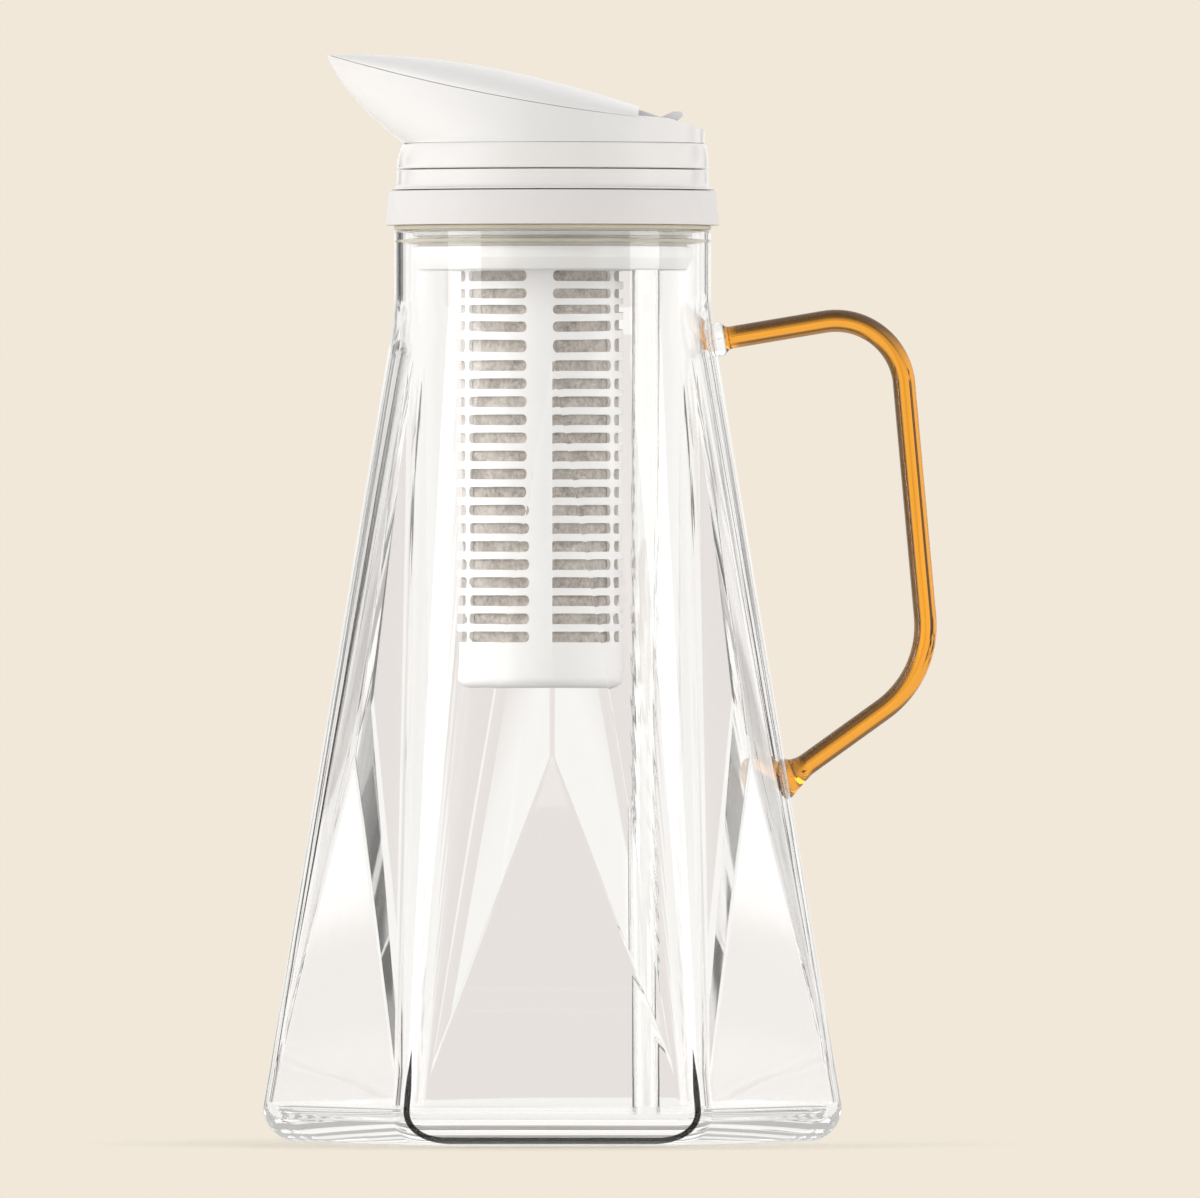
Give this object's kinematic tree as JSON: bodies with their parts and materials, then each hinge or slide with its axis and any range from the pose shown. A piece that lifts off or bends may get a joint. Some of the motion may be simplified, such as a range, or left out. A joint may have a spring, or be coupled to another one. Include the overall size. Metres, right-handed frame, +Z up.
{
  "type": "water filter jug",
  "caption": "Faceted six-sided glass water jug with amber glass handle and plug-in lid: flap spout, hanging slotted filter cage with felt cartridge, clear air tube",
  "frame": {"origin": "centre of the underside of the base, on the axis of the jug", "axes": "+Z up along the axis of the jug, +X towards the handle, -X towards the spout, one flat face of the glass looks along -Y"},
  "size_m": [0.1818, 0.1384, 0.2939],
  "materials": {
    "clear_glass": "clear, fire-polished",
    "amber_glass": "clear amber, fire-polished",
    "white_gloss": "glossy moulded",
    "white_satin": "satin moulded",
    "pale_matt": "matt moulded",
    "silicone": "translucent beige silicone",
    "grey_felt": "needled felt with carbon dust",
    "carbon": "sintered carbon grains",
    "steel": "drawn wire",
    "clear_plastic": "clear extruded"
  },
  "bodies": {
    "jug": {"glass_body": "clear_glass", "handle_rod": "amber_glass", "handle_upper_boss": "clear_glass"},
    "lid": {"rim_gasket": "silicone", "lip_seal": "silicone", "lid_plug": "white_satin", "lid_collar": "pale_matt", "lid_lower_ring": "white_gloss", "lid_upper_ring": "white_gloss", "spout_housing": "white_gloss", "flap_hinge_pin": "steel", "air_tube": "clear_plastic", "air_tube_grommet": "silicone"},
    "flap": {"spout_flap": "white_gloss"},
    "filter": {"filter_cage": "white_satin", "felt_sleeve": "grey_felt", "carbon_block": "carbon", "cartridge_core": "white_satin", "cartridge_top_cap": "white_satin", "cartridge_bottom_cap": "white_satin", "cartridge_o_ring": "silicone"}
  },
  "joints": [
    {"name": "lid_lift", "type": "slide", "parent": "jug", "child": "lid", "axis": [0, 0, 1], "range_m": [0, 0.245]},
    {"name": "flap_swing", "type": "hinge", "parent": "lid", "child": "flap", "pos_m": [0.0277, 0, 0.2737], "axis": [0, 1, 0], "range_deg": [0, 45]},
    {"name": "filter_twist", "type": "hinge", "parent": "lid", "child": "filter", "pos_m": [-0.0034, 0, 0.24], "axis": [0, 0, 1], "range_deg": [0, 60]}
  ]
}
